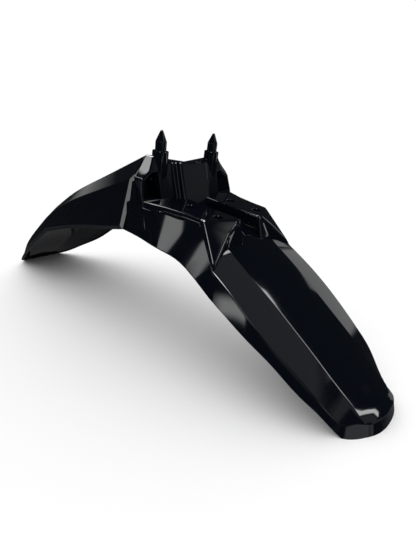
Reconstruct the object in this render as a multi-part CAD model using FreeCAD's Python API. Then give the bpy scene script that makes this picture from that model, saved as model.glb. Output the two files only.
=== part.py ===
import FreeCAD, Part
import math
import os

Vector = FreeCAD.Vector

# Wall of the moulding and its reach ahead of the pegs and behind them
wall = 3.0
nose_reach = 512.0
tail_reach = 266.6

# Half widths: hood, waist between the fork legs, tail at its widest and nose tip
hood_half = 82.0
waist_half = 76.0
tail_half = 77.0
tip_half = 42.5

# Mounting deck: height at the front holes above the floor, fall towards the tail in degrees
deck_height = 176.6
deck_slope = 10.4
deck_thickness = 3.0
trough_depth = 14.0
trough_half = 14.5

# Chamfered rail along the deck's outer edge: its fall and its width
rail_drop = 5.0
rail_width = 2.3

# Four bolt holes through the deck
hole_back = 39.3
hole_pitch_along = 40.8
hole_pitch_across = 68.5
hole_diameter = 10.5

# Two pegs on collared bosses
peg_half_spacing = 42.0
peg_diameter = 12.6
peg_straight = 9.6
peg_cone = 11.8
peg_tip_radius = 1.2
collar_diameter = 18.4
collar_rise = 58.4
boss_length = 44.0

# Tower behind the pegs: lean of its rear wall, depth of the cheek chamfer, height of its top
tower_lean = 6.0
cheek_depth = 8.5
tower_rise = 46.0
strip_lean = 22.8

# Centre plate that stands proud of the tower wall
plate_half = 20.6
plate_proud = 6.5
plate_lean = 9.2

# Pockets beside the pegs
pocket_depth = 22.0

# Turned-down lip round the end of the tail
lip_height = 10.5

# The tail reaches this much lower than the nose before the part is set level on the floor
tail_drop = 4.0
end_half = 53.0

# Where the hood meets the beak ahead of the pegs, and how far the pads reach down the side panels
corner_reach = 255.0
pad_reach = 40.0

# Deck height for which the heights of the skins are drawn
drawn_height = 176.6
slope = math.tan(math.radians(deck_slope))


def deck_z(x):
    return deck_height + (x + hole_back) * slope


def lifted(z):
    """Heights under the deck stretch with it, heights above it move with it."""
    if z > drawn_height:
        return z + deck_height - drawn_height
    return z * deck_height / drawn_height


def ring(points):
    return Part.makePolygon(points + [points[0]])


def closed_section(x, half):
    """Corners of the section across the part, down one side and up the other."""
    side = [Vector(x, y, z) for y, z in half]
    other = [Vector(x, -y, z) for y, z in reversed(half) if y > 0]
    return side + other


def skin(sections):
    """Solid whose lengthwise edges are smooth curves through the corners of the sections."""
    first = sections[0][0].x
    span = sections[-1][0].x - first
    params = [(points[0].x - first) / span for points in sections]
    rails = []
    for corner in range(len(sections[0])):
        curve = Part.BSplineCurve()
        curve.interpolate(Points=[points[corner] for points in sections], Parameters=params)
        rails.append(curve.toShape())
    faces = [Part.makeRuledSurface(a, b) for a, b in zip(rails, rails[1:] + rails[:1])]
    faces += [Part.Face(ring(sections[0])), Part.Face(ring(sections[-1]))]
    shell = Part.makeShell(faces)
    shell.sewShape()
    return oriented(Part.Solid(shell))


def oriented(solid):
    if solid.Volume < 0:
        solid.reverse()
    return solid


def loft(wires, ruled=True):
    return Part.makeLoft(wires, True, ruled)


def facets(points, polygons):
    """Solid with flat faces, each named by the corners it runs through."""
    faces = [Part.Face(ring([points[name] for name in names])) for names in polygons]
    shell = Part.makeShell(faces)
    shell.sewShape()
    return oriented(Part.Solid(shell))


def drawn_in(outline, inset):
    """Outline moved in square to each of its sides."""
    area = sum(a[0] * b[1] - b[0] * a[1] for a, b in zip(outline, outline[1:] + outline[:1]))
    turn = 1 if area > 0 else -1
    moved = []
    for before, point, after in zip(outline[-1:] + outline[:-1], outline, outline[1:] + outline[:1]):
        ax, ay = point[0] - before[0], point[1] - before[1]
        bx, by = after[0] - point[0], after[1] - point[1]
        la, lb = math.hypot(ax, ay), math.hypot(bx, by)
        ax, ay, bx, by = ax / la, ay / la, bx / lb, by / lb
        k = turn * inset / (1 + ax * bx + ay * by)
        moved.append((point[0] - (ay + by) * k, point[1] + (ax + bx) * k))
    return moved


def side_prism(profile, half):
    """Block with the given outline seen from the side."""
    points = [Vector(x, -half, z) for x, z in profile]
    return Part.Face(ring(points)).extrude(Vector(0, 2 * half, 0))


def mirrored(shape):
    return shape.mirror(Vector(0, 0, 0), Vector(0, 1, 0))


# Hood and beak: x, centre height, top crease, shoulder and edge as (half width, height)
def hood_rows():
    w = hood_half
    c = corner_reach
    rear = [
        (-14.0, 226.0, (w - 24, 236.5), (w - 4, 211.6), (w, 155.0)),
        (0.176 * c, 216.5, (w - 24, 219.2), (w - 4, 197.7), (w, 145.4)),
        (0.431 * c, 201.4, (w - 24, 200.4), (w - 4, 182.3), (w, 137.6)),
        (0.706 * c, 181.5, (w - 24, 179.5), (w - 4, 163.4), (w, 127.0)),
        (c, 152.5, (w - 24, 149.5), (w - 4, 133.8), (w, 111.8)),
    ]
    span = nose_reach - c
    t = tip_half
    front = [
        rear[-1],
        (c + 0.226 * span, 125.0, (w - 28, 121.0), (w - 4.2, 103.0), (w - 0.2, 84.0)),
        (c + 0.471 * span, 95.0, (w - 34.5, 91.0), (w - 8, 68.5), (w - 4, 53.0)),
        (c + 0.724 * span, 58.5, (t - 1.5, 55.0), (t + 19.5, 34.6), (t + 22.5, 26.8)),
        (c + 0.934 * span, 20.0, (t - 8.5, 18.0), (t + 6.5, 12.0), (t + 9, 5.5)),
        (nose_reach, 9.5, (t - 12.5, 9.0), (t - 2.0, 6.0), (t, 0.0)),
    ]
    return rear, front


def hood_half_section(row, inset):
    """Half section of the hood; inset zero gives the outside, the wall gives the inside."""
    x, zc, crease, shoulder, edge = row
    lip = 0.25 * min(shoulder[1] - edge[1], 20.0)
    low = 0.0 if inset == 0 else 6.0
    return [
        (0, lifted(zc) - inset),
        (crease[0] - 0.4 * inset, lifted(crease[1]) - inset),
        (shoulder[0] - inset, lifted(shoulder[1]) - 0.5 * inset),
        (edge[0] - inset, lifted(edge[1] + lip)),
        (edge[0] - 0.5 * lip - inset, lifted(edge[1]) - low),
    ]


def hood(inset):
    rear, front = hood_rows()
    body = []
    for rows in (rear, front):
        wires = []
        for row in rows:
            x = min(row[0], nose_reach - inset)
            wires.append(closed_section(x, hood_half_section(row, inset)))
        body.append(skin(wires))
    return body


def rear_plane(z):
    """Rear wall of the tower."""
    return -5.6 + (z - deck_z(0)) * math.tan(math.radians(tower_lean))


def strip_plane(z):
    """Step from the hood's side in to the waist, beside the fork leg."""
    return 9.5 + (200.4 - z) * math.tan(math.radians(strip_lean))


def hood_limit(inset):
    extra = 0.5 if inset else 0.0
    cross = 210.0
    low = -60.0
    profile = [
        (rear_plane(300) + cheek_depth + extra, 300),
        (rear_plane(cross) + cheek_depth + extra, cross),
        (strip_plane(cross) + inset, cross),
        (strip_plane(low) + inset, low),
        (nose_reach + 60, low),
        (nose_reach + 60, 300),
    ]
    return side_prism(profile, 2 * hood_half)


def base_rows():
    """Waist and tail: x, centre height, crease, shoulder and edge as (half width, height)."""
    w = waist_half
    t = tail_half
    waist = [
        (60.0, 176.0, (38.5, 176.0), (w, 188.0), (w, 148.6)),
        (-4.0, deck_z(-4) - trough_depth, (38.5, 168.0), (w, deck_z(-4) - rail_drop), (w, 138.8)),
    ]
    for x, half, edge in ((-15, 73.0, 136.0), (-32, 66.5, 132.4), (-57, 61.0, 127.0)):
        z = deck_z(x)
        waist.append((x, z - trough_depth, (38.5, z - trough_depth - 1), (half, z - rail_drop), (w, edge)))
    waist.append((-78.0, 155.5, (38.5, 154.0), (58.7, 164.6), (w, 116.5)))
    waist.append((-92.0, 149.0, (38.5, 143.6), (65.2, 146.0), (w + 0.3, 106.8)))
    s = (tail_reach - 106.0) / 160.6
    brow = lip_height - tail_drop
    tail = [
        (-106.0, 138.5, (38.5, 132.3), (t - 4.8, 124.3), (t, 97.5)),
        (-106 - 24 * s, 119.5, (38.3, 114.2), (t - 4.2, 107.3), (t, 82.8)),
        (-106 - 49 * s, 99.5, (37.3, 94.6), (t - 3.6, 87.0), (t - 0.2, 68.0)),
        (-106 - 74 * s, 77.5, (36.2, 73.5), (t - 6, 65.7), (t - 2.5, 52.6)),
        (-106 - 99 * s, 56.5, (35.5, 52.0), (t - 11.5, 44.5), (t - 8.2, 31.2)),
        (-106 - 120 * s, 37.5, (34.8, 33.0), (t - 18, 24.0), (t - 15.6, 13.8)),
        (-106 - 135 * s, 25.0, (33.8, 18.5), (t - 26.5, 7.2), (t - 24.8, -4.0)),
        (-106 - 146 * s, 16.5, (32.5, brow + 1.5), (t - 30, 1.5), (t - 28, -9.0)),
        (-106 - 166 * s, brow, (32.5, brow), (t - 32, 0.0), (t - 30, -12.0)),
    ]
    waist.append(tail[0])
    return waist, tail


def base_half_section(row, inset):
    x, zc, crease, shoulder, edge = row
    low = 0.0 if inset == 0 else 8.0
    return [
        (0, lifted(zc) - inset),
        (crease[0] - 0.1 * inset, lifted(crease[1]) - inset),
        (shoulder[0] - inset, lifted(shoulder[1]) - 1.1 * inset),
        (edge[0] - inset, lifted(edge[1]) - low),
    ]


def end_outline(back, half, z, inset):
    """Round end seen from above: distance ahead of the rearmost point, half width."""
    drawn = drawn_in(list(zip(back, half)) + [(back[-1] + 8, half[-1])], inset)[:-1]
    side = [Vector(x - tail_reach, y, z) for x, y in drawn]
    side[0] = Vector(inset - tail_reach + back[0], 0, z)
    other = [Vector(v.x, -v.y, v.z) for v in side[1:]]
    curve = Part.BSplineCurve()
    curve.interpolate(Points=list(reversed(other)) + side)
    corner = Vector(side[-1].x + 8, side[-1].y + 10, z)
    far = Vector(corner.x, -corner.y, z)
    lines = [Part.makeLine(side[-1], corner), Part.makeLine(corner, far), Part.makeLine(far, other[-1])]
    return Part.Wire([curve.toShape()] + lines)


def end_former(inset):
    """Everything ahead of the round end of the tail; the lip leans in most beside the creases."""
    w = end_half
    foot_back = (0, 1.2, 4.5, 11.2, 21.4, 26.5, 31.0)
    foot_half = (0, 15, 26, w - 15.4, w - 4, w - 0.8, w + 2.5)
    brow_back = (2.0, 3.1, 6.0, 10.3, 14.8, 20.5, 25.1, 31.0)
    brow_half = (0, 14, 23, 30.5, 34.5, w - 12, w - 5.2, w + 1)
    brow_height = lip_height - tail_drop
    foot = end_outline(foot_back, foot_half, -tail_drop, inset)
    brow = end_outline(brow_back, brow_half, brow_height, inset)
    top = end_outline([x + 2 for x in brow_back], brow_half, brow_height + 25, inset)
    start = 35.0 - tail_reach
    ahead = Part.makeBox(600, 4 * tail_half, 400, Vector(start, -2 * tail_half, -2 * tail_drop))
    return loft([foot, brow]).multiFuse([loft([brow, top]), ahead])


def base(inset):
    waist, tail = base_rows()
    bodies = [skin([closed_section(r[0], base_half_section(r, inset)) for r in waist])]
    tail_body = skin([closed_section(r[0], base_half_section(r, inset)) for r in tail])
    bodies.append(tail_body.common(end_former(inset)))
    return bodies


def leaning_ring(outline, shift):
    """Outline of (half width, height) points on a plane parallel to the tower's rear wall."""
    side = [Vector(rear_plane(z) + shift, y, z) for y, z in outline]
    other = [Vector(v.x, -v.y, v.z) for v in reversed(side) if v.y > 0]
    return ring(side + other)


def tower(inset):
    top = deck_height + tower_rise
    i = inset
    w = waist_half
    low = 150.0
    front = [
        (0, top + 0.4 - i), (33, top + 4.4 - i), (45, top + 6.9 - i), (w - 18 - 0.4 * i, top + 9 - i),
        (w - 8 - 0.9 * i, top - 3.5 - 0.7 * i), (w + 2.5 - 1.1 * i, top - 15.1 - 0.4 * i),
        (w - i, top - 19.6), (w - i, low - i),
    ]
    rear = [
        (0, top - 0.6 - i), (33, top + 0.4 - i), (44, top + 5.9 - i), (w - 23.2 - 0.5 * i, top + 6.6 - i),
        (w - 16.4 - 0.9 * i, top - 9.4 - 0.5 * i), (w - 5 - i, top - 17.6 - 0.4 * i),
        (w - 0.2 - i, top - 38.3), (w - 0.2 - i, low - i),
    ]
    ahead = cheek_depth + (1.0 if inset else 0.0)
    block = loft([leaning_ring(rear, i), leaning_ring(front, ahead)])
    z_top = top - 19.6 - inset
    z_low = low - inset
    start = cheek_depth - (1.0 if inset else 0.0)
    profile = [(rear_plane(z_low) + start, z_low), (strip_plane(z_low) + 10, z_low)]
    profile += [(strip_plane(z_top) + 10, z_top), (rear_plane(z_top) + start, z_top)]
    return [block, side_prism(profile, w - inset)]


def plate(inset):
    """Centre plate with its stepped sides."""
    wires = []
    i = inset
    for z in (deck_z(-10) - trough_depth - 6 - i, deck_height + tower_rise - 0.6 - i):
        lean = (z - 200.0) * math.tan(math.radians(plate_lean))
        face = rear_plane(200) - plate_proud - 3.6 + lean + i
        back = rear_plane(200) + 6 + lean + i
        p = plate_half
        half = [(face, p - i), (face + 1.5, p + 2 - i), (face + 6.0, p + 3 - i)]
        half += [(face + 7.0, p + 8 - i), (back, p + 9 - i)]
        side = [Vector(x, y, z) for x, y in half]
        other = [Vector(v.x, -v.y, v.z) for v in reversed(side)]
        wires.append(ring(side + other))
    return loft(wires)


def pad(inset):
    """Raised half of the deck, left side, with a chamfered rail along its outer edge."""
    n = trough_half
    w = waist_half
    high = [(2, n), (2, w - 1), (-6, w - 2.5), (-15, w - 5.5), (-32, w - 12), (-57, w - 17), (-78, w - 19)]
    high.append((-95, n))
    low = [(2, n), (2, w - 0.5), (-6, w - 1), (-15, w - 1.5), (-32, w - 2.2), (-57, w - 3.5), (-78, w - 4.5)]
    low.append((-95, n))
    ledge = [(x, min(y + rail_width * (y > n), w - 0.2)) for x, y in high]
    drop = deck_thickness / math.cos(math.radians(deck_slope)) if inset else 0
    upper = [Vector(x, y, deck_z(x) - drop) for x, y in drawn_in(high, inset)]
    middle = [Vector(x, y, deck_z(x) - rail_drop - drop) for x, y in drawn_in(ledge, inset)]
    lower = [Vector(x, y, lifted(deck_z(x) - pad_reach) - inset) for x, y in drawn_in(low, inset)]
    return loft([ring(upper), ring(middle), ring(lower)])


def wedge(inset):
    """Block from the rear edge of the pad down to the tail, left side."""
    n = trough_half
    w = waist_half
    i = inset
    d = deck_thickness / math.cos(math.radians(deck_slope)) if inset else 0
    points = {
        "edge": Vector(-78 + i, w - 19 - i, deck_z(-78) - d),
        "front": Vector(-66, w - 20 - i, deck_z(-66) - d),
        "inner": Vector(-66, n + i, deck_z(-66) - d),
        "corner": Vector(-97 + 1.2 * i, n + 3 + i, deck_z(-97) - d),
        "ridge": Vector(-98 + 1.2 * i, 40 - 0.4 * i, lifted(149.0) - 0.8 * i),
        "groove": Vector(-99 + 1.2 * i, 38.5 - 0.4 * i, lifted(136.5)),
        "shoulder": Vector(-107 + i, w - 4.2 - i, lifted(126.0)),
        "foot": Vector(-101 + 1.2 * i, n + 1.5 + i, lifted(143.0)),
        "low_groove": Vector(-99 + 1.2 * i, 38.5 - 0.4 * i, lifted(112.0) - i),
        "low_shoulder": Vector(-107 + i, w - 4.2 - i, lifted(112.0) - i),
        "low_foot": Vector(-101 + 1.2 * i, n + 1.5 + i, lifted(112.0) - i),
        "low_front": Vector(-66, w - 6 - i, lifted(127.0) - i),
        "low_inner": Vector(-66, n + i, lifted(127.0) - i),
    }
    polygons = [
        ("edge", "front", "inner"), ("edge", "inner", "corner"),
        ("edge", "corner", "ridge"), ("edge", "ridge", "shoulder"), ("corner", "groove", "ridge"),
        ("ridge", "groove", "shoulder"), ("corner", "foot", "groove"),
        ("groove", "foot", "low_foot", "low_groove"), ("shoulder", "groove", "low_groove", "low_shoulder"),
        ("foot", "corner", "inner"), ("foot", "inner", "low_inner"), ("foot", "low_inner", "low_foot"),
        ("front", "low_front", "low_inner", "inner"), ("edge", "shoulder", "low_front"),
        ("edge", "low_front", "front"), ("shoulder", "low_shoulder", "low_front"),
        ("low_foot", "low_inner", "low_groove"), ("low_inner", "low_front", "low_groove"),
        ("low_front", "low_shoulder", "low_groove"),
    ]
    flat = []
    for names in polygons:
        if len(names) > 3 and "low_front" not in names:
            flat += [(names[0], names[1], names[2]), (names[0], names[2], names[3])]
        else:
            flat.append(names)
    return facets(points, flat)


def pocket(inset):
    """Tapered recess between a peg's boss and the cheek, left side."""
    mouth = [(49, 183), (49, 213), (59, 211.5), (69.5, 203), (72.5, 185)]
    end = [(50, 187), (50, 205), (52, 205), (53, 200), (53, 188)]
    wires = []
    for outline, shift in ((mouth, -6.0), (mouth, 1.0), (end, pocket_depth)):
        cy = sum(y for y, z in outline) / len(outline)
        cz = sum(z for y, z in outline) / len(outline)
        points = []
        for y, z in outline:
            away = math.hypot(y - cy, z - cz)
            k = 1 + inset * 1.2 / away
            yy = cy + (y - cy) * k
            zz = lifted(cz + (z - cz) * k)
            points.append(Vector(rear_plane(zz) + shift + (inset if shift > 2 else 0), yy, zz))
        wires.append(ring(points))
    return loft(wires)


normal = Vector(-math.sin(math.radians(deck_slope)), 0, math.cos(math.radians(deck_slope)))


def on_normal(x, y, distance):
    """Point above the deck plane, measured square to the deck."""
    return Vector(x, y, deck_z(x)) + normal * distance


def boss(y):
    top = Vector(0, y, deck_height + collar_rise)
    return Part.makeCylinder(collar_diameter / 2, boss_length, top - normal * boss_length, normal)


def peg(y):
    """Straight shank with a pointed, rounded top, turned about its own axis."""
    r = peg_diameter / 2
    tip = peg_tip_radius
    top = peg_straight + peg_cone
    slant = math.atan2(r - tip, peg_cone - tip)
    touch = Vector(tip * math.cos(slant), 0, top - tip + tip * math.sin(slant))
    middle = Vector(tip * math.sin(math.radians(40)), 0, top - tip + tip * math.cos(math.radians(40)))
    summit = Vector(0, 0, top)
    edges = [
        Part.makeLine(Vector(0, 0, -2), Vector(r, 0, -2)),
        Part.makeLine(Vector(r, 0, -2), Vector(r, 0, peg_straight)),
        Part.makeLine(Vector(r, 0, peg_straight), touch),
        Part.Arc(touch, middle, summit).toShape(),
        Part.makeLine(summit, Vector(0, 0, -2)),
    ]
    solid = Part.Face(Part.Wire(edges)).revolve(Vector(0, 0, 0), Vector(0, 0, 1), 360)
    solid.rotate(Vector(0, 0, 0), Vector(0, 1, 0), -deck_slope)
    solid.translate(Vector(0, y, deck_height + collar_rise))
    return solid


def hole(x, y):
    return Part.makeCylinder(hole_diameter / 2, 40, on_normal(x, y, -20), normal)


def fused(shapes):
    return shapes[0].multiFuse(shapes[1:])


def mudguard():
    outer = []
    for piece in hood(0):
        outer.append(piece.common(hood_limit(0)))
    outer += base(0) + tower(0)
    outer.append(plate(0))
    for piece in (pad(0), wedge(0)):
        outer += [piece, mirrored(piece)]
    body = fused(outer)
    inner = []
    for piece in hood(wall):
        inner.append(piece.common(hood_limit(wall)))
    inner += base(wall) + tower(wall)
    inner.append(plate(wall))
    for piece in (pad(wall), wedge(wall)):
        inner += [piece, mirrored(piece)]
    hollow = fused(inner)
    for side in (pocket(0), mirrored(pocket(0))):
        body = body.cut(side)
    for side in (pocket(wall), mirrored(pocket(wall))):
        hollow = hollow.cut(side)
    shell = body.cut(hollow)
    for y in (peg_half_spacing, -peg_half_spacing):
        shell = shell.fuse(boss(y)).fuse(peg(y))
    along = hole_pitch_along * math.cos(math.radians(deck_slope))
    for x in (-hole_back, -hole_back - along):
        for y in (hole_pitch_across / 2, -hole_pitch_across / 2):
            shell = shell.cut(hole(x, y))
    level = math.degrees(math.asin(tail_drop / (nose_reach + tail_reach)))
    shell.rotate(Vector(nose_reach, 0, 0), Vector(0, 1, 0), level)
    floor = Part.makeBox(2000, 1000, 100, Vector(-1000, -500, -100))
    shell = shell.cut(floor)
    solids = sorted(shell.Solids, key=lambda s: s.Volume)
    print("solids", [round(s.Volume) for s in solids])
    part = solids[-1]
    part.translate(Vector((tail_reach - nose_reach) / 2, 0, 0))
    return part


os.makedirs("parts", exist_ok=True)
shape = mudguard()
print("valid", shape.isValid(), "box", shape.BoundBox, "volume", shape.Volume, "faces", len(shape.Faces))
shape.exportStep("parts/mudguard.step")
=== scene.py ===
# %% [markdown]
# This lesson dresses a moulded front mudguard for an off-road motorcycle. It
# is one piece of glossy plastic. Its CAD solid comes in first, at its real
# size and place.
# The moulding is then modelled again as one mesh, because the rounded creases
# of the real one are what catches the light.

# %% Load the frame
import math

import bpy
import numpy as np
from mathutils import Matrix, Vector


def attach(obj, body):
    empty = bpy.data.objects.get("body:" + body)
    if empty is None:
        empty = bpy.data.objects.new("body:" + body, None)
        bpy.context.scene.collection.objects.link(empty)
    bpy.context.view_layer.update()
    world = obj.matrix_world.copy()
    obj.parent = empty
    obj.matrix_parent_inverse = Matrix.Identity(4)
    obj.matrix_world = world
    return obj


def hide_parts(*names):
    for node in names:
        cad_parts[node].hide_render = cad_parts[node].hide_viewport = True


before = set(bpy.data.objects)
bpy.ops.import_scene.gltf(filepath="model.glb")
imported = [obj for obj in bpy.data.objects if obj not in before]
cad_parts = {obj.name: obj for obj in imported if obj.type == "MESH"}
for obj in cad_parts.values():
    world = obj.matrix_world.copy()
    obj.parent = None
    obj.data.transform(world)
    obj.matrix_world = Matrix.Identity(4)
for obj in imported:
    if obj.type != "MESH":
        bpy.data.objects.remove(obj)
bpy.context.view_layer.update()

# %% [markdown]
# The moulding is drawn in the same station frame as its solid, in millimetres:
# X runs ahead from the pegs, Y across and Z up. A size that several shapes
# share could be typed into each of them, but then they stop fitting when one
# is changed, so each is named once, here.

# %% Driving sizes
MM = 0.001
WALL = 3.0
NOSE, TAIL = 512.0, 266.6  # reach ahead of the pegs and behind them
HOOD, WAIST, FLANK = 82.0, 76.0, 77.0  # half widths of hood, waist and tail
DECK, DECK_FALL = 176.6, 10.4  # height at the front holes, degrees down to the tail
LEDGE = 5.0  # from the deck down to the foot of its rail
TROUGH, TROUGH_DEPTH = 14.5, 14.0  # half width of the trough between the pads, and its depth
LIP, DROP = 10.5, 4.0  # height of the tail's lip, and how far it hangs under the nose
BROW = LIP - DROP
CHEEK, TOWER_TOP = 8.5, DECK + 46.0  # the tower's thickness at its sides, and its top
CORNER = 255.0  # where the hood bends down into the beak
HOLE_BACK, HOLE_PITCH, HOLE_SIDE, HOLE_RADIUS = 39.3, 40.8, 34.25, 5.25
PEG_SIDE, COLLAR_TOP = 42.0, DECK + 58.4
print("length", NOSE + TAIL, "width", 2 * HOOD, "deck", DECK, "pegs apart", 2 * PEG_SIDE)

# %% [markdown]
# Three slanted planes rule the middle of the part. The deck falls towards the
# tail, the tower's rear face leans ahead, and the hood's side ends at a plane
# that leans back as it rises. Points could be read off a drawing face by face,
# but a function for each plane keeps all that lies on it together.

# %% Slanted planes
SLOPE = math.tan(math.radians(DECK_FALL))
LEAN = math.tan(math.radians(6))
STRIP = math.tan(math.radians(22.8))
TOWER_FOOT = -5.6
STRIP_X, STRIP_Z = 9.5, 200.4


def deck_z(x):
    return DECK + (x + HOLE_BACK) * SLOPE


def rear_plane(z):
    return TOWER_FOOT + (z - deck_z(0)) * LEAN


def strip_plane(z):
    return STRIP_X + (STRIP_Z - z) * STRIP


print("deck at the tower", round(deck_z(0), 1), "tower leans", round(rear_plane(TOWER_TOP), 1))

# %% [markdown]
# Each long edge of the moulding runs through a few stations. Straight runs
# between them would show as facets in the gloss. A Bezier curve could be drawn
# by hand, but it can't be asked for its height at a given station, so a small
# natural cubic spline is written out.

# %% Splines through stations
def spline(xs, ys):
    """Natural cubic through the points, as a function of x."""
    n = len(xs)
    h = np.diff(xs)
    slope = np.diff(ys) / h
    a = np.eye(n)
    b = np.zeros(n)
    for k in range(1, n - 1):
        a[k, k - 1:k + 2] = h[k - 1], 2 * (h[k - 1] + h[k]), h[k]
        b[k] = 6 * (slope[k] - slope[k - 1])
    m = np.linalg.solve(a, b)

    def at(x):
        k = min(max(int(np.searchsorted(xs, x)) - 1, 0), n - 2)
        u, v = xs[k + 1] - x, x - xs[k]
        cubic = (m[k] * u ** 3 + m[k + 1] * v ** 3) / (6 * h[k])
        start = (ys[k] / h[k] - m[k] * h[k] / 6) * u
        return cubic + start + (ys[k + 1] / h[k] - m[k + 1] * h[k] / 6) * v

    return at


arch = spline(np.array([0.0, 10.0, 20.0]), np.array([0.0, 4.0, 0.0]))
print("an arch through 0, 4 and 0 is", round(float(arch(5.0)), 2), "high a quarter of the way along")


# %% Sections between stations
def between(rows, step, lean=None):
    """Stations every few millimetres with their corners; lean reads the last corner further ahead."""
    rows = sorted(rows)
    xs = np.array([row[0] for row in rows], float)
    flat = np.array([np.ravel(row[1:]) for row in rows], float)
    curves = [spline(xs, flat[:, k]) for k in range(flat.shape[1])]
    count = max(2, int(round((xs[-1] - xs[0]) / step)) + 1)
    out = []
    for x in np.linspace(xs[0], xs[-1], count):
        values = [curve(x) for curve in curves]
        if lean:
            values[-2:] = [curve(x + lean(x)) for curve in curves[-2:]]
        out.append((x, list(zip(values[0::2], values[1::2]))))
    return out


print("sections", len(between([(0, (0, 1)), (10, (0, 2)), (20, (0, 1))], 5)), "over 20 mm in steps of 5")

# %% [markdown]
# A section across the part is a ring of corners with a small arc at each, as
# the mould's tool leaves them. A bevel modifier could round the corners after,
# but its arcs would vary where creases run out, so the arcs that follow a
# crease are drawn into the rings.

# %% Rounded sections
ARC_STEPS = 4
ARC_SHARE = 0.45  # most of a side that one corner's arc may take
FLATTEST = 0.05


def rounded(corners, radii):
    """Closed outline with an arc at each corner, always with the same count of points."""
    out = []
    n = len(corners)
    for k in range(n):
        p, q, r = Vector(corners[k - 1]), Vector(corners[k]), Vector(corners[(k + 1) % n])
        a, b = (p - q), (r - q)
        la, lb = a.length, b.length
        a.normalize()
        b.normalize()
        half = math.acos(max(-1, min(1, a.dot(b)))) / 2
        reach = min(radii[k] / max(math.tan(half), FLATTEST), ARC_SHARE * la, ARC_SHARE * lb)
        start, end = q + a * reach, q + b * reach
        for s in range(ARC_STEPS + 1):
            t = s / ARC_STEPS
            out.append(start * (1 - t) ** 2 + q * 2 * t * (1 - t) + end * t ** 2)
    return out


def section(x, half, radii):
    """Ring across the part from the corners of one side."""
    side = [Vector((y, z)) for y, z in half]
    other = [Vector((-y, z)) for y, z in reversed(half) if y > 0.01]
    sizes = list(radii) + [r for r, (y, z) in zip(reversed(radii), reversed(half)) if y > 0.01]
    return [Vector((x, p.x, p.y)) for p in rounded(side + other, sizes)]


print("points in a ring of five corners a side", len(section(0, [(k, -k) for k in range(5)], [1] * 5)))

# %% [markdown]
# A tube joins such rings into a closed solid. The rings could be joined with
# Bridge Edge Loops, but a grid primitive already has one row for each ring. Its
# points are set ring by ring, its two long edges are merged, and its ends are
# filled.

# %% Tube through rings
SEAM = 0.0005


def tube(name, rings):
    """Closed solid whose rings all have the same count of points."""
    rows, cols = len(rings), len(rings[0])
    bpy.ops.object.select_all(action="DESELECT")
    bpy.ops.mesh.primitive_grid_add(x_subdivisions=cols, y_subdivisions=rows - 1)
    piece = bpy.context.active_object
    piece.name = name
    points = np.array([list(ring) + [ring[0]] for ring in rings], float).reshape(-1, 3)
    piece.data.vertices.foreach_set("co", points.ravel())
    bpy.ops.object.mode_set(mode="EDIT")
    bpy.ops.mesh.select_all(action="SELECT")
    bpy.ops.mesh.remove_doubles(threshold=SEAM)
    bpy.ops.mesh.select_all(action="SELECT")
    bpy.ops.mesh.fill_holes(sides=0)
    bpy.ops.mesh.select_all(action="SELECT")
    bpy.ops.mesh.normals_make_consistent(inside=False)
    bpy.ops.object.mode_set(mode="OBJECT")
    return piece


print("seams of a tube are merged within", SEAM, "mm")

# %% [markdown]
# The hood and beak come first. The real hood starts at the tower, turns down a
# short step beside the fork leg and runs out to the nose. It has a crease along
# its top, a crease along its shoulder and a lip turned in along its edge. A
# subdivided box would melt these creases, so every station gives the place of
# the centre, the two creases and the edge.

# %% Hood and beak stations
REAR_HOOD = [
    (-14.0, (0, 226.0), (HOOD - 24, 236.5), (HOOD - 4, 211.6), (HOOD, 155.0)),
    (45.0, (0, 216.5), (HOOD - 24, 219.2), (HOOD - 4, 197.7), (HOOD, 145.4)),
    (110.0, (0, 201.4), (HOOD - 24, 200.4), (HOOD - 4, 182.3), (HOOD, 137.6)),
    (180.0, (0, 181.5), (HOOD - 24, 179.5), (HOOD - 4, 163.4), (HOOD, 127.0)),
    (CORNER, (0, 152.5), (HOOD - 24, 149.5), (HOOD - 4, 133.8), (HOOD, 111.8)),
]
BEAK = [
    REAR_HOOD[-1],
    (313.0, (0, 125.0), (HOOD - 28, 121.0), (HOOD - 4.2, 103.0), (HOOD - 0.2, 84.0)),
    (376.0, (0, 95.0), (HOOD - 34.5, 91.0), (HOOD - 8, 68.5), (HOOD - 4, 53.0)),
    (441.0, (0, 58.5), (41.0, 55.0), (62.0, 34.6), (65.0, 26.8)),
    (495.0, (0, 20.0), (34.0, 18.0), (49.0, 12.0), (51.5, 5.5)),
    (NOSE, (0, 9.5), (30.0, 9.0), (40.5, 6.0), (42.5, 0.0)),
]
print("hood stations", [row[0] for row in REAR_HOOD], "beak stations", [row[0] for row in BEAK])

# %% Skin of the hood
TURNED_IN, LIP_SIDE = 0.25, 20.0  # the lip takes a quarter of the side, up to 5 mm
HOOD_OPEN = 6.0  # the inner skin runs this far past the edge, so that the hood is open below
HOOD_RADII = (0, 3.0, 2.2, 1.4, 1.0)
INNER_RADII = (0, 1, 1, 1, 1)


def hood_half(corners, inset):
    centre, crease, shoulder, edge = corners
    lip = TURNED_IN * min(shoulder[1] - edge[1], LIP_SIDE)
    low = HOOD_OPEN if inset else 0.0
    return [
        (0, centre[1] - inset),
        (crease[0] - 0.4 * inset, crease[1] - inset),
        (shoulder[0] - inset, shoulder[1] - 0.5 * inset),
        (edge[0] - inset, edge[1] + lip),
        (edge[0] - 0.5 * lip - inset, edge[1] - low),
    ]


def hood(name, inset, step):
    radii = INNER_RADII if inset else HOOD_RADII
    rings = []
    for rows in (REAR_HOOD, BEAK):
        for x, corners in between(rows, step):
            rings.append(section(min(x, NOSE - inset), hood_half(corners, inset), radii))
        if rows is REAR_HOOD:
            rings.pop()
    return tube(name, rings)


outer_hood = hood("hood", 0, 7)
inner_hood = hood("hood_inside", WALL, 14)
print("hood faces", len(outer_hood.data.polygons), "inside", len(inner_hood.data.polygons))

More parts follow.
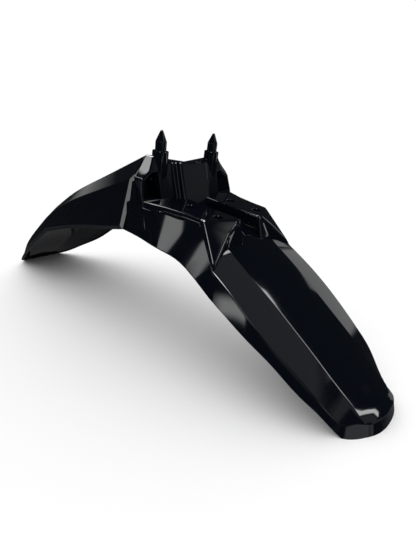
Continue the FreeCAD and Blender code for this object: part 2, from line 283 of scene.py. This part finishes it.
# %% [markdown]
# The hood now ends square to its length, but the real one ends at the tower
# above and at the leaning step below. A boolean with a block could trim it. The
# Bisect operator does the same with one plane and closes the cut. It clamps
# each part of the plane's normal to one, so the normal has to be a short one.

# %% Trim the hood at the tower and the step
STEP_TOP = 210.0
INNER_GAP = 0.5  # keeps the inner hood's end off the tower's inner face


def select_only(thing):
    bpy.ops.object.select_all(action="DESELECT")
    thing.select_set(True)
    bpy.context.view_layer.objects.active = thing


def cut_away(piece, point, normal):
    """Keeps the side that the normal points to, and closes the cut."""
    select_only(piece)
    bpy.ops.object.mode_set(mode="EDIT")
    bpy.ops.mesh.select_all(action="SELECT")
    bpy.ops.mesh.bisect(plane_co=point, plane_no=normal, use_fill=True, clear_inner=True)
    bpy.ops.object.mode_set(mode="OBJECT")


for piece, inset, gap in ((outer_hood, 0, 0.0), (inner_hood, WALL, INNER_GAP)):
    cut_away(piece, (rear_plane(STEP_TOP) + CHEEK + gap, 0, STEP_TOP), (1, 0, -LEAN))
    cut_away(piece, (strip_plane(STEP_TOP) + inset, 0, STEP_TOP), (1, 0, STRIP))
print("hood starts at", round(min(v.co.x for v in outer_hood.data.vertices), 1), "mm")

# %% [markdown]
# Down the rear edge of its side the hood has a narrow flat, and in the
# photograph that flat is the brightest line of the whole side. A wide bevel
# would take in the other edges as well, so the flat is one more cut on each
# side, through a line just outside the waist. Then all hard edges are rounded.

# %% Chamfer of the step and rounded edges
CHAMFER = ((74.2, 205.0), (79.0, 150.0))  # half width and height of its inner edge, top and bottom


def soften(piece, width, angle=24, steps=3):
    """Rounds the hard edges as the mould's tool radius does."""
    select_only(piece)
    bevel = piece.modifiers.new("tool_radius", "BEVEL")
    bevel.limit_method = "ANGLE"
    bevel.angle_limit = math.radians(angle)
    bevel.width = width
    bevel.segments = steps
    bevel.miter_outer = "MITER_ARC"
    bpy.ops.object.modifier_apply(modifier=bevel.name)


for side in (1, -1):
    high, low = [Vector((strip_plane(z), side * y, z)) for y, z in CHAMFER]
    normal = (low - high).cross(Vector((1, side, 0)))
    if normal.x < 0:
        normal.negate()
    cut_away(outer_hood, low, normal.normalized())
soften(outer_hood, 1.6, 34)
print("hood faces", len(outer_hood.data.polygons))

# %% [markdown]
# Behind the hood the moulding narrows to pass between the fork legs and then
# runs down into the tail. Its side folds at one long shoulder line, and the
# tail's top has a flat between two creases. Two lofts with a joint would show a
# kink in the gloss, so the two runs of stations share one at the fold.

# %% Waist and tail stations
UNDER_PAD = 1.0  # the base's crease lies this far under the trough's floor
SADDLE = [
    (60.0, (0, 176.0), (38.5, 176.0), (WAIST, 188.0), (WAIST, 148.6)),
    (-4.0, (0, deck_z(-4) - TROUGH_DEPTH), (38.5, 168.0), (WAIST, deck_z(-4) - LEDGE), (WAIST, 138.8)),
]
for x, half, edge in ((-15, 73.0, 136.0), (-32, 66.5, 132.4), (-57, 61.0, 127.0)):
    floor_z = deck_z(x) - TROUGH_DEPTH
    SADDLE.append((x, (0, floor_z), (38.5, floor_z - UNDER_PAD), (half, deck_z(x) - LEDGE), (WAIST, edge)))
SADDLE += [
    (-78.0, (0, 155.5), (38.5, 154.0), (58.7, 164.6), (WAIST, 116.5)),
    (-92.0, (0, 149.0), (38.5, 143.6), (65.2, 146.0), (WAIST + 0.3, 106.8)),
    (-106.0, (0, 138.5), (38.5, 132.3), (FLANK - 4.8, 124.3), (FLANK, 97.5)),
]
TAIL_ROWS = [
    SADDLE[-1],
    (-130.0, (0, 119.5), (38.3, 114.2), (FLANK - 4.2, 107.3), (FLANK, 82.8)),
    (-155.0, (0, 99.5), (37.3, 94.6), (FLANK - 3.6, 87.0), (FLANK - 0.2, 68.0)),
    (-180.0, (0, 77.5), (36.2, 73.5), (FLANK - 6, 65.7), (FLANK - 2.5, 52.6)),
    (-205.0, (0, 56.5), (35.5, 52.0), (FLANK - 11.5, 44.5), (FLANK - 8.2, 31.2)),
    (-226.0, (0, 37.5), (34.8, 33.0), (FLANK - 18, 24.0), (FLANK - 15.6, 13.8)),
    (-241.0, (0, 25.0), (33.8, 18.5), (FLANK - 26.5, 7.2), (FLANK - 24.8, -4.0)),
    (-252.0, (0, 16.5), (32.5, BROW + 1.5), (FLANK - 30, 1.5), (FLANK - 28, -9.0)),
    (-272.0, (0, BROW + 2), (32.5, BROW + 2), (FLANK - 32, 0.0), (FLANK - 30, -12.0)),
]
print("waist stations", [row[0] for row in SADDLE], "tail stations", [row[0] for row in TAIL_ROWS])

# %% [markdown]
# The side panel under the deck twists. On the real part its straight lines
# fan out towards the wheel, as its reflections show. Sections square to the
# length can't do that, so the lower edge of a section is read a little further
# ahead than its upper edge, most of all where the panel twists most.

# %% Skin of the waist and tail
BASE_OPEN = 8.0  # the inner skin runs this far past the edge
BASE_RADII = (0, 10, 2.2, 1.2)
PANEL_START, PANEL_PEAK, PANEL_END, PANEL_LEAN = -5, -85, -106, 24
PANEL_INSIDE = 45  # half width at which the side panel starts


def base_half(corners, inset):
    centre, crease, shoulder, edge = corners
    low = BASE_OPEN if inset else 0.0
    return [
        (0, centre[1] - inset),
        (crease[0] - 0.1 * inset, crease[1] - inset),
        (shoulder[0] - inset, shoulder[1] - 1.1 * inset),
        (edge[0] - inset, edge[1] - low),
    ]


def panel_lean(x):
    """How far ahead the side panel's lower edge lies."""
    if x > PANEL_START or x < PANEL_END:
        return 0
    if x > PANEL_PEAK:
        share = (PANEL_START - x) / (PANEL_START - PANEL_PEAK)
    else:
        share = (x - PANEL_END) / (PANEL_PEAK - PANEL_END)
    return PANEL_LEAN * math.sin(math.pi / 2 * share) ** 2


def lean_ring(ring, x, top, bottom):
    """Moves the points of the side panel ahead, the lower the further."""
    for point in ring:
        down = min(max((top - point.z) / (top - bottom), 0), 1)
        point.x += panel_lean(x) * down * (abs(point.y) > PANEL_INSIDE)


def base(name, inset, step):
    radii = INNER_RADII[:4] if inset else BASE_RADII
    rings = []
    for x, corners in between(TAIL_ROWS, step):
        rings.append(section(x, base_half(corners, inset), radii))
    rings.pop()
    for x, corners in between(SADDLE, step, panel_lean):
        rings.append(section(x, base_half(corners, inset), radii))
        lean_ring(rings[-1], x, corners[2][1], corners[3][1])
    return tube(name, rings)


outer_base = base("waist_and_tail", 0, 5)
inner_base = base("waist_and_tail_inside", WALL, 12)
print("waist and tail faces", len(outer_base.data.polygons))

# %% [markdown]
# The tail ends in a short turned-down lip, round as seen from above. Rounding
# it with stations would need a section for every degree. Instead a former is
# drawn as seen from above, once at the lip's foot and once at its crest, and
# only what lies inside it is kept.

# %% Former for the end of the tail
END_HALF = 53.0
FOOT = ((0, 0), (1.2, 15), (4.5, 26), (11.2, END_HALF - 15.4), (21.4, END_HALF - 4),
        (26.5, END_HALF - 0.8), (31, END_HALF + 2.5))
CREST = ((2, 0), (3.1, 14), (6, 23), (10.3, 30.5), (14.8, 34.5), (20.5, END_HALF - 12),
         (25.1, END_HALF - 5.2), (31, END_HALF + 1))
END_POINTS = 64
FAR_AHEAD, FAR_OUT, HIGH_UP = 400, 160, 300  # the former takes in all the rest of the part


def drawn_in(outline, inset):
    """Outline moved in square to each of its sides."""
    following, leading = outline[1:] + outline[:1], outline[-1:] + outline[:-1]
    area = sum(a[0] * b[1] - b[0] * a[1] for a, b in zip(outline, following))
    turn = 1 if area > 0 else -1
    moved = []
    for before, point, after in zip(leading, outline, following):
        a = Vector((point[0] - before[0], point[1] - before[1])).normalized()
        b = Vector((after[0] - point[0], after[1] - point[1])).normalized()
        k = turn * inset / (1 + a.dot(b))
        moved.append((point[0] - (a.y + b.y) * k, point[1] + (a.x + b.x) * k))
    return moved


def end_ring(outline, z, shift, inset):
    points = drawn_in(list(outline) + [(outline[-1][0] + 8, outline[-1][1])], inset)[:-1]
    points[0] = (outline[0][0] + inset, 0)
    side = [(x + shift - TAIL, y) for x, y in points]
    loop = [(x, -y) for x, y in reversed(side[1:])] + side
    length = np.concatenate([[0], np.cumsum([math.dist(p, q) for p, q in zip(loop, loop[1:])])])
    fx, fy = [spline(length, np.array([p[k] for p in loop])) for k in (0, 1)]
    curve = [(float(fx(s)), float(fy(s))) for s in np.linspace(0, length[-1], END_POINTS)]
    last = curve[-1]
    far = [(last[0] + 8, last[1] + 10), (last[0] + FAR_AHEAD, FAR_OUT)]
    return [Vector((x, y, z)) for x, y in curve + far + [(x, -y) for x, y in reversed(far)]]


def end_former(name, inset):
    levels = ((FOOT, -DROP - 2, 0), (FOOT, -DROP, 0), (CREST, BROW, 0))
    levels += ((CREST, BROW + 30, 2), (CREST, HIGH_UP, 2))
    return tube(name, [end_ring(outline, z, shift, inset) for outline, z, shift in levels])


formers = [end_former("end_former", 0), end_former("end_former_inside", WALL)]
print("former points", [len(former.data.vertices) for former in formers])


# %% Keep the tail inside the former
def combine(piece, other, operation):
    """Boolean with another solid, which is used up."""
    select_only(piece)
    joint = piece.modifiers.new(operation.lower(), "BOOLEAN")
    joint.operation = operation
    joint.solver = "EXACT"
    joint.object = other
    bpy.ops.object.modifier_apply(modifier=joint.name)
    bpy.data.objects.remove(other, do_unlink=True)


combine(outer_base, formers[0], "INTERSECT")
combine(inner_base, formers[1], "INTERSECT")
soften(outer_base, 1.0, 32)
print("tail ends at", round(min(v.co.x for v in outer_base.data.vertices), 1), "mm")

# %% [markdown]
# The tower stands at the back of the hood and carries the pegs. Seen from
# behind it is a low wall with raised, slanted cheeks. Its front and its rear
# outline differ, so it isn't a plain extrusion: it is a tube of two rings, with
# the bevelled faces between them.

# %% Tower
TOWER_BASE = 150


def leaning_ring(outline, shift):
    side = [Vector((rear_plane(z) + shift, y, z)) for y, z in outline]
    return side + [Vector((v.x, -v.y, v.z)) for v in reversed(side) if v.y > 0]


def tower(name, inset):
    front = [
        (0, TOWER_TOP + 0.4 - inset),
        (33, TOWER_TOP + 4.4 - inset),
        (45, TOWER_TOP + 6.9 - inset),
        (WAIST - 18 - 0.4 * inset, TOWER_TOP + 9 - inset),
        (WAIST - 8 - 0.9 * inset, TOWER_TOP - 3.5 - 0.7 * inset),
        (WAIST + 2.5 - 1.1 * inset, TOWER_TOP - 15.1 - 0.4 * inset),
        (WAIST - inset, TOWER_TOP - 19.6),
        (WAIST - inset, TOWER_BASE - inset),
    ]
    rear = [
        (0, TOWER_TOP - 0.6 - inset),
        (33, TOWER_TOP + 0.4 - inset),
        (44, TOWER_TOP + 5.9 - inset),
        (WAIST - 23.2 - 0.5 * inset, TOWER_TOP + 6.6 - inset),
        (WAIST - 16.4 - 0.9 * inset, TOWER_TOP - 9.4 - 0.5 * inset),
        (WAIST - 5 - inset, TOWER_TOP - 17.6 - 0.4 * inset),
        (WAIST - 0.2 - inset, TOWER_TOP - 38.3),
        (WAIST - 0.2 - inset, TOWER_BASE - inset),
    ]
    ahead = CHEEK + (1.0 if inset else 0.0)
    return tube(name, [leaning_ring(rear, inset), leaning_ring(front, ahead)])


outer = [outer_hood, outer_base, tower("tower", 0)]
inner = [inner_hood, inner_base, tower("tower_inside", WALL)]
soften(outer[-1], 2.2, 20, 4)
print("tower faces", len(outer[-1].data.polygons))

# %% [markdown]
# Between the tower and the hood's step lies a plain block, which the fork leg
# passes. On the tower's rear face stands the centre plate, with a step down
# each side. Both have the same outline all along, so each is a tube with one
# ring at either end.

# %% Fork block and centre plate
BLOCK_OVERLAP = 10  # the block reaches this far into the hood
PLATE_HALF, PLATE_OUT = 20.6, 10.1  # half width, and how far it stands behind the tower
PLATE_LEAN = math.tan(math.radians(9.2))
PLATE_Z = 200  # height at which the plate's distances are given


def fork_block(name, inset):
    high, low = TOWER_TOP - 19.6 - inset, TOWER_BASE - inset
    start = CHEEK - (1.0 if inset else 0.0)
    ring = [(rear_plane(low) + start, low), (strip_plane(low) + BLOCK_OVERLAP, low)]
    ring += [(strip_plane(high) + BLOCK_OVERLAP, high), (rear_plane(high) + start, high)]
    return tube(name, [[Vector((x, y, z)) for x, z in ring] for y in (inset - WAIST, WAIST - inset)])


def plate(name, inset):
    rings = []
    for z in (deck_z(-10) - TROUGH_DEPTH - 6 - inset, TOWER_TOP - 0.6 - inset):
        shift = rear_plane(PLATE_Z) + (z - PLATE_Z) * PLATE_LEAN + inset
        half = [
            (-PLATE_OUT, PLATE_HALF), (1.5 - PLATE_OUT, PLATE_HALF + 2), (6 - PLATE_OUT, PLATE_HALF + 3),
            (7 - PLATE_OUT, PLATE_HALF + 8), (6, PLATE_HALF + 9),
        ]
        side = [Vector((x + shift, y - inset, z)) for x, y in half]
        rings.append(side + [Vector((v.x, -v.y, v.z)) for v in reversed(side)])
    return tube(name, rings)


outer += [fork_block("fork_block", 0), plate("plate", 0)]
inner += [fork_block("block_inside", WALL), plate("plate_inside", WALL)]
soften(outer[-1], 1.6)
print("plate faces", len(outer[-1].data.polygons))

# %% [markdown]
# Each half of the deck is a raised pad with a chamfered rail along its outer
# edge. A bevel would give the rail one width all along and fail where the pad
# meets the tower. The pad is a tube of three rings instead: its top, the foot
# of the rail and a narrower one that ends inside the waist.

# %% Pads of the deck
RAIL, UNDERCUT, PAD_DEPTH = 2.3, 9, 16


def ring_at(outline, drop, side):
    return [Vector((x, side * y, deck_z(x) - drop)) for x, y in outline]


def pad(name, inset, side):
    rail = [(2, WAIST - 1), (-6, WAIST - 2.5), (-15, WAIST - 5.5)]
    rail += [(-32, WAIST - 12), (-57, WAIST - 17), (-78, WAIST - 19)]
    high = [(2, TROUGH)] + rail + [(-95, TROUGH)]
    foot = [(x, min(y + RAIL * (y > TROUGH), WAIST - 0.2)) for x, y in high]
    low = [(x, y - UNDERCUT * (y > TROUGH)) for x, y in foot]
    levels = ((high, 0), (foot, LEDGE), (low, PAD_DEPTH))
    return tube(name, [ring_at(drawn_in(outline, inset), drop + inset, side) for outline, drop in levels])


SIDES = ((1, "left"), (-1, "right"))
pads = {word: pad("pad_" + word, 0, side) for side, word in SIDES}
for piece in pads.values():
    soften(piece, 1.8, 20, 4)
print("pad faces", [len(piece.data.polygons) for piece in pads.values()])

# %% [markdown]
# A wedge carries the rear edge of each pad down to the tail. It is a cut gem
# of flat faces that meet at a ridge, with a groove under it where the tail's
# flat starts. No primitive is near that shape, so it is placed by its named
# corners, and each face names the corners it runs through.

# %% Wedges behind the pads
RIDGE_HALF = 38


def wedge_corners(inset):
    n, i = TROUGH + inset, inset
    low = 112 - inset
    return {
        "edge": (-78 + i, 57 - i, deck_z(-78) - i),
        "front": (-66, 56 - i, deck_z(-66) - i),
        "inner": (-66, n, deck_z(-66) - i),
        "corner": (-97 + 1.2 * i, n + 3, deck_z(-97) - i),
        "ridge": (-98 + 1.2 * i, RIDGE_HALF - 0.4 * i, 154 - 0.8 * i),
        "groove": (-96.5 + 1.2 * i, RIDGE_HALF + 0.5 - 0.4 * i, 136.5),
        "shoulder": (-107 + i, 71.8 - i, 126),
        "foot": (-101 + 1.2 * i, n + 1.5, 143),
        "low_groove": (-96.5 + 1.2 * i, RIDGE_HALF + 0.5 - 0.4 * i, low),
        "low_shoulder": (-107 + i, 71.8 - i, low),
        "low_foot": (-101 + 1.2 * i, n + 1.5, low),
        "low_front": (-66, 70 - i, 127 - i),
        "low_inner": (-66, n, 127 - i),
    }


WEDGE_FACES = (
    "edge front inner corner", "edge corner ridge", "edge ridge shoulder", "corner groove ridge",
    "ridge groove shoulder", "corner foot groove", "groove foot low_foot", "groove low_foot low_groove",
    "shoulder groove low_groove", "shoulder low_groove low_shoulder", "foot corner inner",
    "foot inner low_inner", "foot low_inner low_foot", "front low_front low_inner inner",
    "edge shoulder low_front", "edge low_front front", "shoulder low_shoulder low_front",
    "low_foot low_inner low_groove", "low_inner low_front low_groove", "low_front low_shoulder low_groove",
)


def wedge(name, inset, side):
    corners = wedge_corners(inset)
    names = list(corners)
    mesh = bpy.data.meshes.new(name)
    where = [(x, side * y, z) for x, y, z in corners.values()]
    mesh.from_pydata(where, [], [[names.index(corner) for corner in face.split()] for face in WEDGE_FACES])
    piece = bpy.data.objects.new(name, mesh)
    bpy.context.scene.collection.objects.link(piece)
    select_only(piece)
    bpy.ops.object.mode_set(mode="EDIT")
    bpy.ops.mesh.select_all(action="SELECT")
    bpy.ops.mesh.normals_make_consistent(inside=False)
    bpy.ops.object.mode_set(mode="OBJECT")
    return piece


for side, word in SIDES:
    outer += [pads[word], wedge("wedge_" + word, 0, side)]
    soften(outer[-1], 3.2, 12, 4)
    inner += [pad("pad_inside_" + word, WALL, side), wedge("wedge_inside_" + word, WALL, side)]
print("outer pieces", [piece.name for piece in outer])

# %% [markdown]
# All outer pieces now become one skin and all inner ones another. Joining the
# objects would leave hidden walls where they overlap, so they are united with
# exact booleans, which leave only the outside of each skin.

# %% Fuse the skins
def fuse(pieces):
    whole = pieces[0]
    for other in pieces[1:]:
        combine(whole, other, "UNION")
    return whole


shell = fuse(outer)
hollow = fuse(inner)
shell.name = "moulded_shell"
print("outer skin", len(shell.data.polygons), "inner skin", len(hollow.data.polygons))

# %% [markdown]
# Each cheek of the tower has a pocket that runs ahead and narrows towards its
# inner side. It could be cut into the finished shell, but that would open the
# wall. So it is taken out of the outer skin, and the inner skin loses the same
# pocket, drawn one wall larger. Then the inner skin is taken out of the outer.

# %% Pockets and wall
MOUTH = [(49, 183), (49, 213), (59, 211.5), (69.5, 203), (72.5, 185)]
POCKET_END = [(50, 187), (50, 205), (52, 205), (53, 200), (53, 188)]
POCKET_LEVELS = ((MOUTH, -6.0), (MOUTH, 1.0), (POCKET_END, 22.0))
CORNER_GROWTH = 1.2  # a corner moves out further than the wall's thickness


def pocket(name, inset, side):
    rings = []
    for outline, shift in POCKET_LEVELS:
        middle = np.mean(outline, axis=0)
        deeper = inset if outline is POCKET_END else 0
        ring = []
        for point in np.array(outline, float):
            away = point - middle
            y, z = middle + away * (1 + inset * CORNER_GROWTH / np.hypot(*away))
            ring.append(Vector((rear_plane(z) + shift + deeper, side * y, z)))
        rings.append(ring)
    return tube(name, rings)


for side, word in SIDES:
    combine(shell, pocket("pocket", 0, side), "DIFFERENCE")
    combine(hollow, pocket("pocket_wall", WALL, side), "DIFFERENCE")
combine(shell, hollow, "DIFFERENCE")
print("hollow shell faces", len(shell.data.polygons))

# %% [markdown]
# Pegs and their collared bosses are round and stand square to the deck. The
# Screw modifier could turn a profile, but here a circle is extruded upwards
# and scaled ring by ring, as by hand, and then tilted with the deck. The holes
# are made the same way and taken out. Each has a small countersink.

# %% Bosses, pegs and holes
ROUND = 48
BOSS = [(9.2, -44), (9.2, -0.7), (8.9, -0.2), (8.5, 0)]
PEG = [(6.3, -2), (6.3, 9.3), (6.1, 10.1), (2.0, 19.6), (1.4, 20.7), (0.7, 21.3), (0.15, 21.4)]
SUNK = HOLE_RADIUS + 0.65
BORE = [(HOLE_RADIUS, -20), (HOLE_RADIUS, -0.5), (SUNK, 0.25), (SUNK, 20)]


def turned(name, profile, foot):
    """Solid turned about the deck's normal through a point, from (radius, height) pairs."""
    bpy.ops.object.select_all(action="DESELECT")
    bpy.ops.mesh.primitive_circle_add(vertices=ROUND, radius=profile[0][0], fill_type="NGON")
    piece = bpy.context.active_object
    piece.name = name
    bpy.ops.object.mode_set(mode="EDIT")
    bpy.ops.mesh.select_all(action="SELECT")
    bpy.ops.transform.translate(value=(0, 0, profile[0][1]))
    for (r0, z0), (r1, z1) in zip(profile, profile[1:]):
        bpy.ops.mesh.extrude_region_move(TRANSFORM_OT_translate={"value": (0, 0, z1 - z0)})
        bpy.ops.transform.resize(value=(r1 / r0, r1 / r0, 1))
    bpy.ops.mesh.select_all(action="SELECT")
    bpy.ops.mesh.normals_make_consistent(inside=False)
    bpy.ops.object.mode_set(mode="OBJECT")
    piece.data.transform(Matrix.Translation(foot) @ Matrix.Rotation(math.radians(-DECK_FALL), 4, "Y"))
    return piece


for y in (PEG_SIDE, -PEG_SIDE):
    for name, profile in (("boss", BOSS), ("peg", PEG)):
        combine(shell, turned(name, profile, Vector((0, y, COLLAR_TOP))), "UNION")
for x in (-HOLE_BACK, -HOLE_BACK - HOLE_PITCH * math.cos(math.radians(DECK_FALL))):
    for y in (HOLE_SIDE, -HOLE_SIDE):
        combine(shell, turned("bore", BORE, Vector((x, y, deck_z(x)))), "DIFFERENCE")
print("drilled shell faces", len(shell.data.polygons))

# %% [markdown]
# At rest the part lies on its nose and on the lip of its tail. The drawing is
# turned about the nose until the lip is level with it, moved so that its
# middle lies at the origin, trimmed flat at the floor and scaled to metres.

# %% Set level on the floor
level = math.asin(DROP / (NOSE + TAIL))
half_length = (NOSE - TAIL) / 2
nose = Vector((NOSE, 0, 0))
turn = Matrix.Translation(nose) @ Matrix.Rotation(level, 4, "Y") @ Matrix.Translation(-nose)
shell.data.transform(Matrix.Translation((-half_length, 0, 0)) @ turn)
cut_away(shell, (0, 0, 0), (0, 0, 1))
shell.data.transform(Matrix.Scale(MM, 4))
print("turned by", round(math.degrees(level), 3), "degrees")

# %% [markdown]
# The booleans leave slivers and long thin faces. Merging near points removes
# the slivers. Smooth shading by angle keeps the creases crisp, and weighted
# normals keep the large faces flat right up to their rounded edges.

# %% Merge and shade
CREASE, SLIVER = 28, 0.02  # degrees and millimetres
select_only(shell)
bpy.ops.object.mode_set(mode="EDIT")
bpy.ops.mesh.select_all(action="SELECT")
bpy.ops.mesh.remove_doubles(threshold=SLIVER * MM)
bpy.ops.object.mode_set(mode="OBJECT")
bpy.ops.object.shade_smooth_by_angle(angle=math.radians(CREASE))
weights = shell.modifiers.new("flat_faces_stay_flat", "WEIGHTED_NORMAL")
weights.keep_sharp = True
bpy.ops.object.modifier_apply(modifier=weights.name)
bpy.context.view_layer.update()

# %% [markdown]
# The finish is a deep, near-black moulded plastic with a polished skin. Its
# colour in the photograph comes almost wholly from what it mirrors, so a noise
# or bump would only dirty it: a dark base colour, a low roughness and the
# refractive index of plastic are enough.

# %% Gloss plastic
plastic = bpy.data.materials.new("gloss_black_plastic")
plastic.use_nodes = True
shader = plastic.node_tree.nodes["Principled BSDF"]
shader.inputs["Base Color"].default_value = (0.0015, 0.0026, 0.005, 1)
shader.inputs["Roughness"].default_value = 0.06
shader.inputs["IOR"].default_value = 1.5
shell.data.materials.clear()
shell.data.materials.append(plastic)
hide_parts("mudguard")
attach(shell, "root")
print("dressed", shell.name, "in", plastic.name)

# %% [markdown]
# The part lies on a white sheet, which takes its soft shadow. A plain white
# sheet would be mirrored all over the underside, where the photographed part
# mirrors the dark room. So the sheet is clear to glossy rays only.

# %% White sheet
def mix(nodes_of, switch, first, second):
    """Shows the first shader, and the second one where the switch is on."""
    node = nodes_of.nodes.new("ShaderNodeMixShader")
    for socket, source in zip(node.inputs, (switch, first, second)):
        nodes_of.links.new(source, socket)
    return node.outputs[0]


SHEET_RADIUS = 0.78
bpy.ops.object.select_all(action="DESELECT")
bpy.ops.mesh.primitive_circle_add(vertices=128, radius=SHEET_RADIUS, fill_type="NGON")
floor = bpy.context.active_object
floor.name = "white_sheet"
paint = bpy.data.materials.new("white_sheet")
paint.use_nodes = True
tree = paint.node_tree
ground = tree.nodes["Principled BSDF"]
ground.inputs["Base Color"].default_value = (0.93, 0.93, 0.93, 1)
ground.inputs["Roughness"].default_value = 1.0
ground.inputs["Specular IOR Level"].default_value = 0.0
clear = tree.nodes.new("ShaderNodeBsdfTransparent")
rays = tree.nodes.new("ShaderNodeLightPath")
sheet = mix(tree, rays.outputs["Is Glossy Ray"], ground.outputs[0], clear.outputs[0])
tree.links.new(sheet, tree.nodes["Material Output"].inputs["Surface"])
floor.data.materials.append(paint)
print("sheet", [round(side, 2) for side in floor.dimensions])

# %% [markdown]
# The room that the plastic mirrors is drawn in the world's own nodes. Area
# lamps could stand in its place, but they would light the shadow as well, and
# each would need its distance. In the world a lamp is just a direction: the
# ray's compass angle and its height, both in degrees.

# %% Direction of a ray
world = bpy.data.worlds.new("studio")
bpy.context.scene.world = world
world.use_nodes = True
tree = world.node_tree
tree.nodes.clear()


def math_node(operation, *values):
    node = tree.nodes.new("ShaderNodeMath")
    node.operation = operation
    for socket, value in zip(node.inputs, values):
        if isinstance(value, (int, float)):
            socket.default_value = value
        else:
            tree.links.new(value, socket)
    return node.outputs[0]


ray = tree.nodes.new("ShaderNodeSeparateXYZ")
tree.links.new(tree.nodes.new("ShaderNodeTexCoord").outputs["Generated"], ray.inputs[0])
azimuth = math_node("DEGREES", math_node("ARCTAN2", ray.outputs["Y"], ray.outputs["X"]))
elevation = math_node("DEGREES", math_node("ARCSINE", ray.outputs["Z"]))
print("nodes for the direction", len(tree.nodes))

# %% [markdown]
# Each lamp is a patch of that room with soft edges, placed where one face of
# the part mirrors it. Each row gives the lamp's middle as compass angle and
# height, its half width and half height, its soft edge, its strength and, for
# the last two, how steeply it rises along its width.

# %% Lamps
LAMPS = {
    "sky over the rounded edges": (0, 90, 181, 22, 3, 18, 0),
    "cheek of the tower": (140, 54, 9, 7, 1.5, 7.8, 0),
    "side panel": (62.2, 10.8, 4.2, 7.1, 0.4, 3.0, 0),
    "top of the tail's flank": (67.5, -8.5, 4, 1.8, 0.8, 3.5, 0),
    "rear of the far wedge": (-117, -13, 5, 6, 1, 1.5, 0),
    "corner of the tail's lip": (-176, -14, 6, 6, 2, 0.4, 0),
    "foot of the tail's flank": (128, 14, 14, 8, 5, 0.7, 0),
    "far flank": (-93, 11.5, 9, 8.5, 0.6, 0.7, 0),
    "hood's shoulder": (-5, 11, 14, 3.5, 3, 0.36, 0),
    "hood's lower edge": (14, -18, 10, 6, 3, 0.25, 0),
    "wedge": (-152, 46, 6, 5, 2, 0.9, 0),
    "chamfer of the step": (122, -33, 10, 10, 3, 3.0, 0),
    "centre plate": (-135, 9.5, 8, 5, 3, 0.17, 0),
    "tail's lip": (166, -1, 16, 11, 3, 0.6, 0),
    "ground": (0, -90, 181, 60, 5, 0.08, 0),
    "crease of the tail": (-132, 35, 15, 3, 0.5, 7.5, 0.75),
    "near slope of the tail": (-140, 40.5, 30, 5.5, 1, 0.27, 0.75),
}


def lamp(az, el, wide, tall, soft, strength, rise):
    """Brightness that one lamp adds in the ray's direction."""
    across = math_node("WRAP", math_node("SUBTRACT", azimuth, az), 180, -180)
    above = math_node("SUBTRACT", elevation, math_node("MULTIPLY_ADD", across, rise, el))
    masks = []
    for distance, half in ((across, wide), (above, tall)):
        edge = math_node("SUBTRACT", half + soft, math_node("ABSOLUTE", distance))
        masks.append(math_node("MINIMUM", math_node("MAXIMUM", math_node("DIVIDE", edge, 2 * soft), 0), 1))
    return math_node("MULTIPLY", math_node("MULTIPLY", *masks), strength)


ROOM_LIGHT = 0.018
room = ROOM_LIGHT
for row in LAMPS.values():
    room = math_node("ADD", room, lamp(*row))
print("lamps", len(LAMPS), "nodes", len(tree.nodes))

# %% [markdown]
# The soft light that falls on the sheet is another matter: a plain sky that
# gets brighter overhead. The camera sees neither, but the white of the
# backdrop. Light Path tells the three kinds of ray apart.

# %% Sky and backdrop
SKY_BASE, SKY_OVERHEAD, BACKDROP = 0.36, 1.15, 1.0


def background(strength):
    node = tree.nodes.new("ShaderNodeBackground")
    node.inputs["Color"].default_value = (1, 1, 1, 1)
    if isinstance(strength, float):
        node.inputs["Strength"].default_value = strength
    else:
        tree.links.new(strength, node.inputs["Strength"])
    return node.outputs[0]


overhead = math_node("MULTIPLY", math_node("MAXIMUM", ray.outputs["Z"], 0), SKY_OVERHEAD)
sky = math_node("ADD", overhead, SKY_BASE)
path = tree.nodes.new("ShaderNodeLightPath")
lit = mix(tree, path.outputs["Is Glossy Ray"], background(sky), background(room))
seen = mix(tree, path.outputs["Is Camera Ray"], lit, background(BACKDROP))
tree.links.new(seen, tree.nodes.new("ShaderNodeOutputWorld").inputs["Surface"])
print("world nodes", len(tree.nodes))

# %% [markdown]
# The camera stands where the photograph was taken from. Its place, direction
# and focal length were found from the pegs, the holes and the outline, in the
# station frame, so it is turned by the same small angle as the part.

# %% Camera
CAMERA_PLACE = (-434.5, 300.0, 234.84)
LOOKS_ALONG = (0.6413, -0.6871, -0.3415)
FOCAL_PIXELS, PICTURE_PIXELS, SENSOR = 338, 555, 36

forward = Vector(LOOKS_ALONG).normalized()
right = forward.cross(Vector((0, 0, 1))).normalized()
up = right.cross(forward)
levelled = Matrix.Rotation(level, 3, "Y")
axes = Matrix((levelled @ right, levelled @ up, levelled @ -forward)).transposed()
lens = bpy.data.cameras.new("camera")
lens.sensor_width = SENSOR
lens.lens = FOCAL_PIXELS / PICTURE_PIXELS * SENSOR
camera = bpy.data.objects.new("camera", lens)
camera.matrix_world = Matrix.Translation(Vector(CAMERA_PLACE) * MM) @ axes.to_4x4()
bpy.context.scene.collection.objects.link(camera)
bpy.context.scene.camera = camera
bpy.context.scene.view_settings.view_transform = "Standard"
print("focal length", round(lens.lens, 2), "mm")
